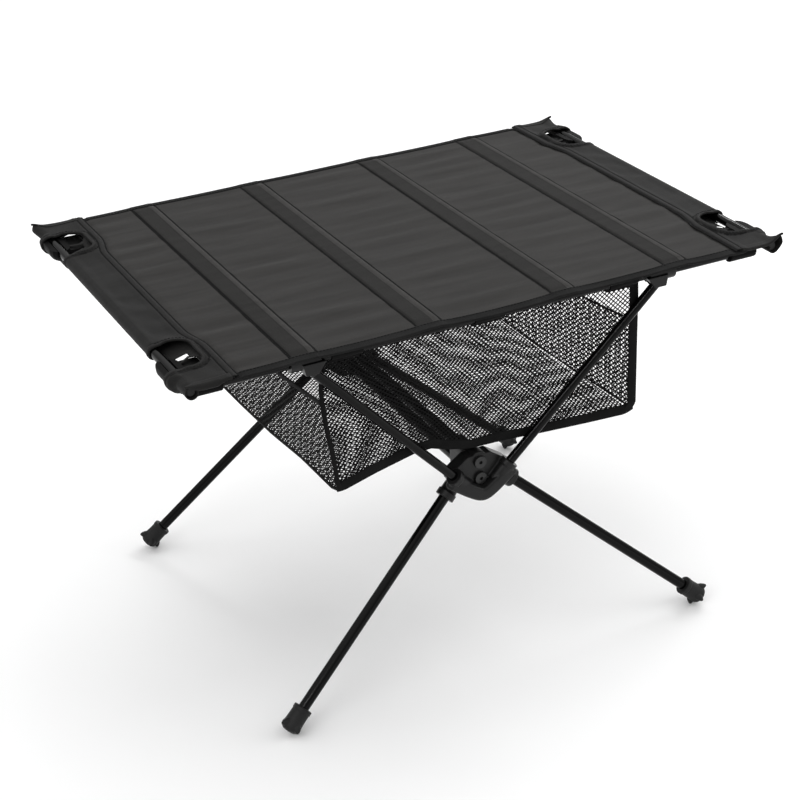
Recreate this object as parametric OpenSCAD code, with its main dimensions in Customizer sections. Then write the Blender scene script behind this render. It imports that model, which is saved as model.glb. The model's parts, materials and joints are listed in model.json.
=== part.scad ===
// Folding camp kitchen table with a fabric top, a pole frame and a hanging net basket.
// Millimetres, +Z up, +X along the long side. The origin is on the ground under the middle of the top.
// Front is -Y, back is +Y, left is -X and right is +X.

/* [Tabletop] */
// Length of the top
top_l = 600; // [560:5:640]
// Width of the top
top_w = 430; // [410:2:460]
// Height of the top's highest face above the ground
top_h = 388; // [384:1:392]
// Thickness of the top fabric
fabric_t = 1.4; // [1.0:0.1:1.6]
// Width of a stiffening rib
rib_w = 24.5; // [22:0.5:28]
// How far a rib stands above the fabric beside it
rib_rise = 2; // [1.5:0.1:2.5]
// Distance of the inner ribs from the middle
rib_inner_x = 67; // [60:1:75]
// Distance of the outer ribs from the middle
rib_outer_x = 186; // [178:1:192]
// Width of the hem tape on the long edges
hem_w = 10; // [8:0.5:12]

/* [End sleeves] */
// Distance of an end pole from the middle of the top
end_pole_x = 290; // [288:0.5:291]
// Width of the sleeve, from its seam to the end pole
sleeve_w = 32; // [31:1:36]
// Middle of a notch along the short edge
notch_y = 160; // [158:1:162]
// Width of a notch
notch_w = 65; // [62:1:67]
// Depth of a notch, from the end of the top
notch_depth = 38; // [36:1:40]

/* [Poles] */
// Diameter of the rails, the end poles and the arms
pole_d = 9; // [8.5:0.1:9.2]
// Diameter of a leg
leg_d = 10.5; // [10:0.1:10.8]
// Wall of every tube
tube_wall = 0.9; // [0.7:0.1:1.1]
// Distance of a rail from the middle of the top
rail_y = 188; // [187:0.5:189]
// Height of a rail's axis
rail_z = 371.5; // [371.2:0.1:371.8]

/* [Frame] */
// Distance between the outer ends of the leg axes along X
leg_span_x = 455; // [440:1:465]
// Distance between the outer ends of the leg axes along Y
leg_span_y = 394; // [388:1:400]
// Height of the lower end of a leg's axis
leg_end_z = 7.2; // [7:0.1:7.6]
// Length of a leg inside the hub
leg_socket = 20; // [16:1:20]
// Length of an arm inside the hub
arm_socket = 20; // [16:1:20]
// Diameter of a crossbar tube
crossbar_d = 12; // [11:0.1:12.4]
// Height of the lower crossbar tube
crossbar_low_z = 193; // [192:0.5:194]
// Height of the upper crossbar tube
crossbar_high_z = 210; // [209:0.5:210]

/* [Basket] */
// Length of the basket at its rim
basket_rim_l = 320; // [310:2:320]
// Length of the basket at its bottom
basket_floor_l = 314; // [300:2:316]
// Width of the basket at its rim
basket_rim_w = 368; // [360:1:368]
// Width of the basket's floor at its ends
basket_floor_w = 362; // [352:1:362]
// Width of the basket's floor in the middle, between the arms
basket_waist_w = 314; // [304:1:314]
// Height of the basket's bottom
basket_floor_z = 223; // [222.5:0.5:226]
// Height of the end panels' upper edge
basket_end_z = 322; // [300:2:340]
// Thickness of the net
net_t = 1.2; // [1:0.1:1.5]

/* [Hidden] */
$fn = 48;
fit = 0.05;
pole_r = pole_d / 2;
leg_r = leg_d / 2;
slack = 0.2;

// Heights of the fabric and of the slats under it.
fabric_z = top_h - rib_rise;
slat_t = 2.6;
slat_w = 19;
slat_z = fabric_z - fabric_t - 0.2;
end_pole_z = fabric_z - 6;
sleeve_r = 6;
sleeve_seam_x = end_pole_x - sleeve_w;
hem_in = 1.4;
panel_w = top_w - 2 * hem_in;

// Axes of the poles, for the back right quarter.
leg_exit = [36.7, 157, 180];
leg_end = [leg_span_x / 2, leg_span_y / 2, leg_end_z];
arm_exit = [30, 166, 204.7];
arm_end = [174.5, 191.4, 362.2];
leg_dir = (leg_end - leg_exit) / norm(leg_end - leg_exit);
arm_dir = (arm_end - arm_exit) / norm(arm_end - arm_exit);
cord_r = 1.4;

// The plug in the top of an arm and its shoulder, which stands above the tube.
plug_l = 10;
shoulder_l = 4;
chamfer = 0.8;

// How far the end of a leg's tube stays above the end of its axis.
boot_floor = 5;

// Hub: a V-shaped band in front of a block, with a barrel round each pole.
band_y = 159;
band_t = 13;
band_h = 15;
band_apex_z = 179;
band_shoulder_x = 31;
band_shoulder_z = 193;
barrel_wall = 3;
collar_l = 6;
collar_wall = 4;
arm_collar_l = 5;
arm_collar_wall = 3.8;
hub_face_y = 160;
block_x = 20;
block_y = 141;
nose_x = 14;
nose_y = 135;
block_under = 9;
block_over = 9.5;
crossbar_sleeve_y = 120;
crossbar_sleeve_wall = 2.4;

// Ends of the crossbar tubes and the screws that hold them.
crossbar_end = 156;
crossbar_plug_l = 16;
screw_head_r = 6;
screw_head_h = 4;
screw_r = 2.5;
screw_l = 18;
hex_r = 2;
hex_depth = 2;

// Corner connector and tee.
hook_in_y = 146;
hook_out_y = 184;
hook_r = 10.5;
socket_r = 7.5;
socket_in_x = 256;
socket_out_x = 283;
rail_end_x = 278;
web_in_x = 262;
web_w = 18;
web_under = 5;
web_h = 11;
hook_top = 3;
ferrule_half_l = 35;
ferrule_bore_r = 2.2;
end_pole_half_l = panel_w / 2 - 6;
cap_l = 3.4;
cap_stem_l = 8;
tee_x = 180;
tee_l = 28;
tee_r = 8;
tee_floor_z = 358.5;
pocket_top_z = 365.7;

// A copy of the back right quarter's shape in the quarter with the signs sx and sy.
module quarter(sx, sy) {
    mirror([sx < 0 ? 1 : 0, 0, 0])
        mirror([0, sy < 0 ? 1 : 0, 0])
            children();
}

// A round bar from a to b.
module rod(a, b, r) {
    d = b - a;
    translate(a)
        rotate([0, acos(d[2] / norm(d)), atan2(d[1], d[0])])
            cylinder(r = r, h = norm(d));
}

// A tube from a to b.
module tube(a, b, r) {
    over = (b - a) / norm(b - a);
    difference() {
        rod(a, b, r);
        rod(a - over, b + over, r - tube_wall);
    }
}

// A bar of height h and depth t in the XZ plane with round ends, from a to b.
module round_bar(a, b, h, t) {
    d = b - a;
    translate([a[0], a[1], a[2]])
        rotate([0, -atan2(d[2], d[0]), 0]) {
            translate([0, 0, -h / 2])
                cube([norm([d[0], d[2]]), t, h]);
            for (x = [0, norm([d[0], d[2]])])
                translate([x, 0, 0])
                    rotate([-90, 0, 0])
                        cylinder(r = h / 2, h = t);
        }
}

// Frame ------------------------------------------------------------------

module hub_quarter_solid() {
    apex = [0, band_y, band_apex_z];
    shoulder = [band_shoulder_x, band_y, band_shoulder_z];
    rod(leg_exit - (leg_socket + barrel_wall) * leg_dir, leg_exit, leg_r + barrel_wall);
    rod(leg_exit - collar_l * leg_dir, leg_exit, leg_r + collar_wall);
    rod(arm_exit - (arm_socket + barrel_wall) * arm_dir, arm_exit, pole_r + barrel_wall);
    rod(arm_exit - arm_collar_l * arm_dir, arm_exit, pole_r + arm_collar_wall);
    round_bar(apex, shoulder, band_h, band_t);
}

module hub_block() {
    low_z = crossbar_low_z - block_under;
    block_h = crossbar_high_z + block_over - low_z;
    for (side = [-1, 1])
        translate([side * nose_x, block_y, low_z])
            cylinder(r = block_x - nose_x, h = block_h);
    translate([-nose_x, nose_y, low_z])
        cube([2 * nose_x, hub_face_y - nose_y, block_h]);
    translate([-block_x, block_y, low_z])
        cube([2 * block_x, hub_face_y - block_y, block_h]);
    for (z = [crossbar_low_z, crossbar_high_z])
        translate([0, crossbar_sleeve_y, z])
            rotate([-90, 0, 0])
                cylinder(
                    r = crossbar_d / 2 + crossbar_sleeve_wall,
                    h = hub_face_y - 10 - crossbar_sleeve_y
                );
}

module hub_bores() {
    for (sx = [-1, 1])
        quarter(sx, 1) {
            rod(leg_exit - leg_socket * leg_dir, leg_exit + leg_dir, leg_r + fit);
            rod(arm_exit - arm_socket * arm_dir, arm_exit + arm_dir, pole_r + fit);
        }
    for (z = [crossbar_low_z, crossbar_high_z])
        translate([0, 0, z])
            rotate([-90, 0, 0]) {
                cylinder(r = crossbar_d / 2 + fit, h = crossbar_end);
                cylinder(r = screw_r + fit, h = hub_face_y + 1);
                translate([0, 0, hub_face_y])
                    cylinder(r = screw_head_r + slack, h = 20);
            }
}

module hub(sy) {
    color([0.1, 0.1, 0.11])
        quarter(1, sy)
            difference() {
                union() {
                    hub_quarter_solid();
                    quarter(-1, 1)
                        hub_quarter_solid();
                    hub_block();
                }
                hub_bores();
            }
}

module crossbar(z) {
    color([0.08, 0.08, 0.09])
        tube([0, -crossbar_end, z], [0, crossbar_end, z], crossbar_d / 2);
}

module crossbar_plugs() {
    color([0.6, 0.6, 0.62])
        for (sy = [-1, 1], z = [crossbar_low_z, crossbar_high_z])
            quarter(1, sy)
                translate([0, crossbar_end - crossbar_plug_l, z])
                    rotate([-90, 0, 0])
                        difference() {
                            cylinder(r = crossbar_d / 2 - tube_wall - fit, h = crossbar_plug_l);
                            translate([0, 0, -1])
                                cylinder(r = screw_r + fit, h = crossbar_plug_l + 2);
                        }
}

module hub_screws() {
    color([0.15, 0.15, 0.16])
        for (sy = [-1, 1], z = [crossbar_low_z, crossbar_high_z])
            quarter(1, sy)
                translate([0, hub_face_y, z])
                    rotate([-90, 0, 0])
                        difference() {
                            union() {
                                cylinder(r = screw_head_r, h = screw_head_h);
                                translate([0, 0, -screw_l])
                                    cylinder(r = screw_r, h = screw_l);
                            }
                            translate([0, 0, screw_head_h - hex_depth])
                                cylinder(r = hex_r, h = hex_depth + 1, $fn = 6);
                        }
}

module arm(sx, sy) {
    color([0.07, 0.07, 0.08])
        quarter(sx, sy)
            tube(arm_exit - (arm_socket - slack) * arm_dir, arm_end - shoulder_l * arm_dir, pole_r);
}

// A plastic plug in the top of each arm, with a rounded shoulder that seats in the tee.
module arm_end_plugs() {
    color([0.12, 0.12, 0.13])
        for (sx = [-1, 1], sy = [-1, 1])
            quarter(sx, sy) {
                tube_top = arm_end - shoulder_l * arm_dir;
                rod(tube_top - plug_l * arm_dir, tube_top, pole_r - tube_wall - fit);
                rod(tube_top, arm_end - arm_dir, pole_r);
                rod(arm_end - arm_dir, arm_end, pole_r - chamfer);
            }
}

module arm_cords() {
    color([0.2, 0.2, 0.2])
        for (sx = [-1, 1], sy = [-1, 1])
            quarter(sx, sy)
                rod(arm_exit - (arm_socket - 1) * arm_dir, arm_end - (plug_l + shoulder_l) * arm_dir, cord_r);
}

module leg(sx, sy) {
    color([0.07, 0.07, 0.08])
        quarter(sx, sy)
            tube(leg_exit - (leg_socket - slack) * leg_dir, leg_end - boot_floor * leg_dir, leg_r);
}

module leg_cord(sx, sy) {
    color([0.2, 0.2, 0.2])
        quarter(sx, sy)
            rod(leg_exit - (leg_socket - 1) * leg_dir, leg_end - boot_floor * leg_dir, cord_r);
}

// Half outline of a rubber boot: radius, then distance back from the end of the leg's axis.
boot_outline = [
    [0, -1], [7, -0.6], [10.4, 1], [11.4, 3], [10.6, 6.5], [9, 10], [8.4, 14],
    [8.4, 20], [8.9, 20], [8.9, 24], [8.4, 25],
    [leg_r + fit, 25], [leg_r + fit, boot_floor], [0, boot_floor]
];
claw_r = 3.6;
claw_x = 8.3;
claw_h = 6;

module boot(sx, sy) {
    color([0.09, 0.09, 0.09])
        quarter(sx, sy)
            difference() {
                translate(leg_end)
                    rotate([0, acos(-leg_dir[2]), atan2(-leg_dir[1], -leg_dir[0])]) {
                        rotate_extrude()
                            polygon(boot_outline);
                        for (turn = [0:90:270])
                            rotate([0, 0, turn])
                                translate([claw_x, 0, slack])
                                    cylinder(r = claw_r, h = claw_h);
                    }
                translate([leg_end[0] - 40, leg_end[1] - 40, -20])
                    cube([80, 80, 20]);
            }
}

// Tabletop ---------------------------------------------------------------

// One woven panel with four sewn tunnels, each of which holds a slat.
module fabric_top() {
    rib_top_l = 2 * (panel_w / 2 - hem_w);
    tunnel_h = slat_z - slat_t - fabric_t - 0.2;
    color([0.23, 0.22, 0.21])
        difference() {
            union() {
                translate([-sleeve_seam_x, -panel_w / 2, fabric_z - fabric_t])
                    cube([2 * sleeve_seam_x, panel_w, fabric_t]);
                for (x = [-rib_outer_x, -rib_inner_x, rib_inner_x, rib_outer_x])
                    translate([x - rib_w / 2, -rib_top_l / 2, tunnel_h])
                        cube([rib_w, rib_top_l, top_h - tunnel_h]);
            }
            for (x = [-rib_outer_x, -rib_inner_x, rib_inner_x, rib_outer_x])
                translate([x - slat_w / 2 - slack, -rib_top_l / 2 + 2, slat_z - slat_t - slack])
                    cube([slat_w + 2 * slack, rib_top_l - 4, slat_t + 2 * slack]);
        }
}

module end_sleeve(sx) {
    color([0.2, 0.2, 0.19])
        quarter(sx, 1)
            difference() {
                union() {
                    rod(
                        [end_pole_x, -panel_w / 2, end_pole_z],
                        [end_pole_x, panel_w / 2, end_pole_z],
                        sleeve_r
                    );
                    translate([sleeve_seam_x, -panel_w / 2, fabric_z - fabric_t])
                        cube([sleeve_w, panel_w, fabric_t]);
                }
                rod(
                    [end_pole_x, -panel_w / 2 + 1.5, end_pole_z],
                    [end_pole_x, panel_w / 2 - 1.5, end_pole_z],
                    pole_r + slack
                );
                for (sy = [-1, 1])
                    quarter(1, sy)
                        notch();
            }
}

// The space cut out of a sleeve, with its inner corners rounded.
module notch() {
    corner_r = 16;
    in_x = end_pole_x + 10 - notch_depth;
    translate([in_x + corner_r, notch_y - notch_w / 2, top_h - 30])
        cube([60, notch_w, 40]);
    translate([in_x, notch_y - notch_w / 2 + corner_r, top_h - 30])
        cube([60, notch_w - 2 * corner_r, 40]);
    for (side = [-1, 1])
        translate([in_x + corner_r, notch_y + side * (notch_w / 2 - corner_r), top_h - 30])
            cylinder(r = corner_r, h = 40);
}

// A folded tape that wraps the long edge of the panel.
module hem(sy) {
    color([0.14, 0.14, 0.15])
        quarter(1, sy)
            difference() {
                translate([-sleeve_seam_x, top_w / 2 - hem_w, fabric_z - fabric_t - 0.9])
                    cube([2 * sleeve_seam_x, hem_w, fabric_t + 1.8]);
                translate([-top_l, top_w / 2 - hem_w - 1, fabric_z - fabric_t])
                    cube([2 * top_l, hem_w + 1 - hem_in, fabric_t]);
            }
}

module slat(x) {
    slat_l = panel_w - 2 * hem_w - 6;
    color([0.5, 0.5, 0.48])
        translate([x - slat_w / 2, -slat_l / 2, slat_z - slat_t])
            cube([slat_w, slat_l, slat_t]);
}

module end_pole(sx) {
    color([0.06, 0.06, 0.07])
        quarter(sx, 1)
            tube(
                [end_pole_x, -end_pole_half_l, end_pole_z],
                [end_pole_x, end_pole_half_l, end_pole_z],
                pole_r
            );
}

module end_pole_caps() {
    color([0.12, 0.12, 0.13])
        for (sx = [-1, 1], sy = [-1, 1])
            quarter(sx, sy)
                translate([end_pole_x, end_pole_half_l, end_pole_z])
                    rotate([-90, 0, 0]) {
                        translate([0, 0, -cap_stem_l])
                            cylinder(r = pole_r - tube_wall - fit, h = cap_stem_l);
                        cylinder(r = pole_r, h = cap_l - 1.4);
                        cylinder(r = pole_r - 1.2, h = cap_l);
                    }
}

module rail(sx, sy) {
    color([0.06, 0.06, 0.07])
        quarter(sx, sy)
            tube([0.1, rail_y, rail_z], [rail_end_x, rail_y, rail_z], pole_r);
}

module rail_ferrule(sy) {
    color([0.6, 0.6, 0.62])
        quarter(1, sy)
            difference() {
                rod(
                    [-ferrule_half_l, rail_y, rail_z],
                    [ferrule_half_l, rail_y, rail_z],
                    pole_r - tube_wall - fit
                );
                rod(
                    [-ferrule_half_l - 1, rail_y, rail_z],
                    [ferrule_half_l + 1, rail_y, rail_z],
                    ferrule_bore_r
                );
            }
}

module rail_cords() {
    color([0.2, 0.2, 0.2])
        for (sy = [-1, 1])
            quarter(1, sy)
                rod([2 - rail_end_x, rail_y, rail_z], [rail_end_x - 2, rail_y, rail_z], cord_r);
}

// Holds the end of a rail and hooks the end pole from below.
module corner(sx, sy) {
    slot_half_w = pole_r + fit;
    cut_y = 100;
    cut_l = 120;
    color([0.12, 0.12, 0.13])
        quarter(sx, sy)
            difference() {
                union() {
                    rod([end_pole_x, hook_in_y, end_pole_z], [end_pole_x, hook_out_y, end_pole_z], hook_r);
                    rod([socket_in_x, rail_y, rail_z], [socket_out_x - 3, rail_y, rail_z], socket_r);
                    rod([socket_out_x - 3, rail_y, rail_z], [socket_out_x, rail_y, rail_z], socket_r - 2);
                    translate([web_in_x, hook_out_y - web_w, rail_z - web_under])
                        cube([end_pole_x - web_in_x, web_w, web_h]);
                }
                rod([socket_in_x - 1, rail_y, rail_z], [rail_end_x + slack, rail_y, rail_z], pole_r + fit);
                rod([end_pole_x, cut_y, end_pole_z], [end_pole_x, top_w / 2, end_pole_z], slot_half_w);
                translate([end_pole_x - slot_half_w, cut_y, end_pole_z])
                    cube([2 * slot_half_w, cut_l, hook_r]);
                translate([end_pole_x - 2 * hook_r, cut_y, end_pole_z + hook_top])
                    cube([4 * hook_r, cut_l, hook_r]);
            }
}

// Sits on a rail and drops over the top of an arm.
module tee(sx, sy) {
    pocket_in_x = arm_end[0] - 10.6;
    pocket_out_x = arm_end[0] + 4.2;
    pocket_mid_y = arm_end[1] + 0.1;
    pocket_half_w = 5.2;
    wall = 1.8;
    color([0.12, 0.12, 0.13])
        quarter(sx, sy)
            difference() {
                union() {
                    rod([tee_x - tee_l / 2, rail_y, rail_z], [tee_x + tee_l / 2, rail_y, rail_z], tee_r);
                    translate([pocket_in_x - wall, pocket_mid_y - pocket_half_w - wall, tee_floor_z])
                        cube([
                            pocket_out_x - pocket_in_x + 4 * wall,
                            2 * (pocket_half_w + wall),
                            rail_z - tee_floor_z - 2
                        ]);
                }
                rod([tee_x - tee_l, rail_y, rail_z], [tee_x + tee_l, rail_y, rail_z], pole_r + fit);
                translate([pocket_in_x, pocket_mid_y - pocket_half_w, tee_floor_z - 1])
                    cube([
                        pocket_out_x - pocket_in_x,
                        2 * pocket_half_w,
                        pocket_top_z - tee_floor_z + 1
                    ]);
            }
}

// Basket -----------------------------------------------------------------

rim_z = rail_z - 8;
rim_y = basket_rim_w / 2;
bind_t = 0.6;
bind_w = 10;
floor_top_z = basket_floor_z + net_t;
function end_x(z) =
    (basket_floor_l + (basket_rim_l - basket_floor_l) * (z - floor_top_z) / (rim_z - floor_top_z)) / 2;

// The floor's outline, which draws in behind the arms.
crease_x = 46;
crease_y = basket_waist_w / 2 + 3.5;
floor_quarter = [[basket_floor_l / 2, basket_floor_w / 2], [crease_x, crease_y], [0, basket_waist_w / 2]];
floor_outline = concat(
    floor_quarter,
    [for (i = [1, 0]) [-floor_quarter[i][0], floor_quarter[i][1]]],
    [for (i = [0:2]) -floor_quarter[i]],
    [for (i = [1, 0]) [floor_quarter[i][0], -floor_quarter[i][1]]]
);

module basket_floor() {
    color([0.1, 0.1, 0.1])
        translate([0, 0, basket_floor_z])
            linear_extrude(height = net_t)
                polygon(floor_outline);
}

// Outer corners of a long wall's right half: rim, crease under the arm, floor.
crease_top_z = 345;
wall_half = [
    [0, rim_y, rim_z],
    [basket_rim_l / 2, rim_y, rim_z],
    [end_x(crease_top_z), rim_y - 2.5, crease_top_z],
    [basket_floor_l / 2, basket_floor_w / 2, floor_top_z],
    [crease_x, crease_y, floor_top_z],
    [0, basket_waist_w / 2, floor_top_z]
];
wall_faces = [[0, 1, 2], [0, 2, 4], [2, 3, 4], [0, 4, 5]];

// Half of a long net wall, folded along the line where the arm presses it in.
module wall_half_panel() {
    n = len(wall_half);
    outline = [0, 1, 2, 3, 4, 5];
    polyhedron(
        points = concat(wall_half, [for (p = wall_half) p - [0, net_t, 0]]),
        faces = concat(
            wall_faces,
            [for (f = wall_faces) [f[2] + n, f[1] + n, f[0] + n]],
            [for (i = [0:n - 1]) [outline[i], outline[i] + n, outline[(i + 1) % n] + n]],
            [for (i = [0:n - 1]) [outline[i], outline[(i + 1) % n] + n, outline[(i + 1) % n]]]
        )
    );
}

module basket_long_wall(sy) {
    color([0.1, 0.1, 0.1])
        quarter(1, sy)
            for (sx = [-1, 1])
                quarter(sx, 1)
                    wall_half_panel();
}

// The left or right net wall, which stops below the top so that a hand can reach in.
module basket_end_wall(sx) {
    low_x = basket_floor_l / 2;
    high_x = end_x(basket_end_z);
    half_w = basket_floor_w / 2 - net_t - 0.4;
    color([0.1, 0.1, 0.1])
        quarter(sx, 1)
            rotate([90, 0, 0])
                linear_extrude(height = 2 * half_w, center = true)
                    polygon([
                        [low_x - net_t, floor_top_z], [low_x, floor_top_z],
                        [high_x, basket_end_z], [high_x - net_t, basket_end_z]
                    ]);
}

// Tape sewn round the bottom edge of the basket, under the net floor.
module basket_binding() {
    color([0.08, 0.08, 0.08])
        translate([0, 0, basket_floor_z - bind_t])
            difference() {
                linear_extrude(height = bind_t)
                    polygon(floor_outline);
                translate([0, 0, -1])
                    scale(1 - 2 * bind_w / basket_floor_w)
                        linear_extrude(height = 2 * bind_t + 4)
                            polygon(floor_outline);
            }
}

// Webbing loops that hang the basket's long walls from the rails.
module basket_loops() {
    loop_r = pole_r + slack;
    loop_t = 0.9;
    loop_w = 30;
    hang_y = rim_y - net_t;
    color([0.08, 0.08, 0.08])
        for (sy = [-1, 1], x = [-140, 0, 140])
            quarter(1, sy)
                translate([x - loop_w / 2, 0, 0])
                    difference() {
                        union() {
                            rod([0, rail_y, rail_z], [loop_w, rail_y, rail_z], loop_r + loop_t);
                            translate([0, hang_y, rim_z])
                                cube([loop_w, net_t, rail_z - rim_z]);
                        }
                        rod([-1, rail_y, rail_z], [loop_w + 1, rail_y, rail_z], loop_r);
                    }
}

hub(-1);  // front_hub
hub(1);  // back_hub
crossbar(crossbar_high_z);  // upper_crossbar
crossbar(crossbar_low_z);  // lower_crossbar
crossbar_plugs();
hub_screws();
arm(-1, -1);  // front_left_arm
arm(1, -1);  // front_right_arm
arm(-1, 1);  // back_left_arm
arm(1, 1);  // back_right_arm
arm_end_plugs();
arm_cords();
leg(-1, -1);  // front_left_leg
leg(1, -1);  // front_right_leg
leg(-1, 1);  // back_left_leg
leg(1, 1);  // back_right_leg
boot(-1, -1);  // front_left_boot
boot(1, -1);  // front_right_boot
boot(-1, 1);  // back_left_boot
boot(1, 1);  // back_right_boot
leg_cord(-1, -1);  // front_left_leg_cord
leg_cord(1, -1);  // front_right_leg_cord
leg_cord(-1, 1);  // back_left_leg_cord
leg_cord(1, 1);  // back_right_leg_cord
fabric_top();
end_sleeve(-1);  // left_end_sleeve
end_sleeve(1);  // right_end_sleeve
hem(-1);  // front_hem
hem(1);  // back_hem
slat(-rib_outer_x);  // left_outer_slat
slat(-rib_inner_x);  // left_inner_slat
slat(rib_inner_x);  // right_inner_slat
slat(rib_outer_x);  // right_outer_slat
end_pole(-1);  // left_end_pole
end_pole(1);  // right_end_pole
end_pole_caps();
rail(-1, -1);  // front_left_rail
rail(1, -1);  // front_right_rail
rail(-1, 1);  // back_left_rail
rail(1, 1);  // back_right_rail
rail_ferrule(-1);  // front_rail_ferrule
rail_ferrule(1);  // back_rail_ferrule
rail_cords();
corner(-1, -1);  // front_left_corner
corner(1, -1);  // front_right_corner
corner(-1, 1);  // back_left_corner
corner(1, 1);  // back_right_corner
tee(-1, -1);  // front_left_tee
tee(1, -1);  // front_right_tee
tee(-1, 1);  // back_left_tee
tee(1, 1);  // back_right_tee
basket_floor();
basket_long_wall(-1);  // basket_front
basket_long_wall(1);  // basket_back
basket_end_wall(-1);  // basket_left
basket_end_wall(1);  // basket_right
basket_binding();
basket_loops();
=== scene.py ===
"""Looks of the folding camp kitchen table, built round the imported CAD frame. Lengths are in mm."""

import json
import math

import bpy
import numpy as np
from mathutils import Matrix, Vector


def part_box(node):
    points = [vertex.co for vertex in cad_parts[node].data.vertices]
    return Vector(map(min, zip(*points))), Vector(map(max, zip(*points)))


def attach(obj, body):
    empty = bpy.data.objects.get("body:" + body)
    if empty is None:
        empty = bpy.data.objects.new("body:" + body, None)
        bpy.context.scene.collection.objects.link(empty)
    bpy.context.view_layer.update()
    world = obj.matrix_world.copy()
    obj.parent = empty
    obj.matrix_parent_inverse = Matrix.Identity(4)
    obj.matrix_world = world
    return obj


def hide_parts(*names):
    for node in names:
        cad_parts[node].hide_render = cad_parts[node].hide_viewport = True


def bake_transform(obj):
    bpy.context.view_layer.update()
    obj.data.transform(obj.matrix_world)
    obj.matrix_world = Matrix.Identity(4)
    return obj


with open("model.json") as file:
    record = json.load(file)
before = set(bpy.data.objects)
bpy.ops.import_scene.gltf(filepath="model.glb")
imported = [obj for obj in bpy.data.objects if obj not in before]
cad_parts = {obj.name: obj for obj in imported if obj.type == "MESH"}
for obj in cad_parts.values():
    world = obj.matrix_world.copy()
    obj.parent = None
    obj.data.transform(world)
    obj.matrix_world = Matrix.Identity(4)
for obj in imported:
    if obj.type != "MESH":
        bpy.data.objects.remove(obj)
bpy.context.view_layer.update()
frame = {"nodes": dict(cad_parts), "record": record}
rng = np.random.default_rng(7)


# Places, in millimetres ------------------------------------------------------


def mm_box(node):
    """Lowest and highest corner of a CAD node in millimetres."""
    lo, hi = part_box(node)
    return np.array(lo) * 1000, np.array(hi) * 1000


def middle(node):
    lo, hi = mm_box(node)
    return (lo + hi) / 2


sleeve_hi = mm_box("right_end_sleeve")[1]
panel_hi = mm_box("fabric_top")[1]
hem_lo, hem_hi = mm_box("back_hem")
pole_lo, pole_hi = mm_box("right_end_pole")
FABRIC_Z = sleeve_hi[2]
SEAM_X = panel_hi[0]
PANEL_Y = panel_hi[1]
HEM_Y = hem_hi[1]
HEM_W = hem_hi[1] - hem_lo[1]
POLE_X, _, POLE_Z = middle("right_end_pole")
POLE_R = (pole_hi[0] - pole_lo[0]) / 2
LOOP_R = sleeve_hi[0] - POLE_X - 0.4
SLATS = ("left_outer", "left_inner", "right_inner", "right_outer")
RIB_X = [middle(f"{n}_slat")[0] for n in SLATS]
RIB_HALF = 12.25
SLAT_Z = mm_box("right_inner_slat")[0][2]
rail_lo, rail_hi = mm_box("back_right_rail")
RAIL_Y, RAIL_Z = middle("back_right_rail")[1:]
RAIL_R = (rail_hi[1] - rail_lo[1]) / 2
basket_lo, basket_hi = mm_box("basket_front")
loops_lo, loops_hi = mm_box("basket_loops")
RIM_Z = basket_hi[2]
RIM_TOP = RIM_Z + 5.5
RIM_Y = -basket_lo[1] - 1.4
END_Z = mm_box("basket_right")[1][2]
corner_lo = mm_box("back_right_corner")[0]
BAR_Z = [middle("lower_crossbar")[2], middle("upper_crossbar")[2]]
BAR_R = 6.0

# Where an arm and a leg leave the back right hub, where they end, and which way they point.
ARM_EXIT = np.array([30.0, 166.0, 204.7])
ARM_RUN = np.array([144.5, 25.4, 157.5])
LEG_EXIT = np.array([36.7, 157.0, 180.0])
LEG_END = np.array([227.5, 197.0, 7.2])
LEG_R = 5.25
CLEAR = 0.05

SIDES = ((-1, "left"), (1, "right"))
ENDS = ((-1, "front"), (1, "back"))
CORNERS = [(sx, sy, f"{end}_{side}") for sy, end in ENDS for sx, side in SIDES]

# The notch in an end sleeve, with the hook of the corner connector inside it.
NOTCH_IN = SEAM_X + 4
NOTCH_Y0 = corner_lo[1] - 24
NOTCH_Y1 = corner_lo[1] + 31
HOOK_END = 184.0
HOOK_R = 10.5
NOTCH_R = 15.0
LIP_W = 4.6


# Small helpers ---------------------------------------------------------------


def smooth(t):
    t = np.clip(t, 0.0, 1.0)
    return t * t * (3 - 2 * t)


def gauss(d, w):
    return np.exp(-((d / w) ** 2))


def add_object(name, verts, faces):
    """A plain mesh object from vertices in millimetres."""
    data = bpy.data.meshes.new(name)
    data.from_pydata((np.asarray(verts, float) / 1000).tolist(), [], [list(map(int, f)) for f in faces])
    obj = bpy.data.objects.new(name, data)
    bpy.context.scene.collection.objects.link(obj)
    return obj


def add_mesh(name, verts, faces, mat, slot, body="tabletop", replaces=(), shade=True):
    """One piece of the table. A piece with no body is left unattached."""
    obj = add_object(name, verts, faces)
    data = obj.data
    data.validate()
    data.update()
    data.polygons.foreach_set("use_smooth", [shade] * len(data.polygons))
    data.materials.append(mat)
    if body:
        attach(obj, body)
    if replaces:
        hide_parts(*replaces)
    return obj


def grid_faces(rows, cols, wrap=False):
    """Quads of a grid of rows by cols vertices. With wrap the last column joins the first."""
    r = np.arange(rows - 1)[:, None]
    c = np.arange(cols if wrap else cols - 1)[None, :]
    a = r * cols + c
    b = r * cols + (c + 1) % cols
    return np.stack([a, b, b + cols, a + cols], -1).reshape(-1, 4).tolist()


def add_sheet_mesh(name, slices, flip, mat, slot, thickness, replaces=()):
    """A sheet of cloth through slices of points, solidified to both sides."""
    grid = np.array(slices)
    faces = grid_faces(*grid.shape[:2])
    if flip:
        faces = [f[::-1] for f in faces]
    piece = add_mesh(name, grid.reshape(-1, 3), faces, mat, slot, replaces=replaces)
    solidify(piece, thickness, 0)
    return piece


def solidify(obj, thickness, offset=-1.0):
    mod = obj.modifiers.new("thickness", "SOLIDIFY")
    mod.thickness = thickness / 1000
    mod.offset = offset
    mod.use_even_offset = False


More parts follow.
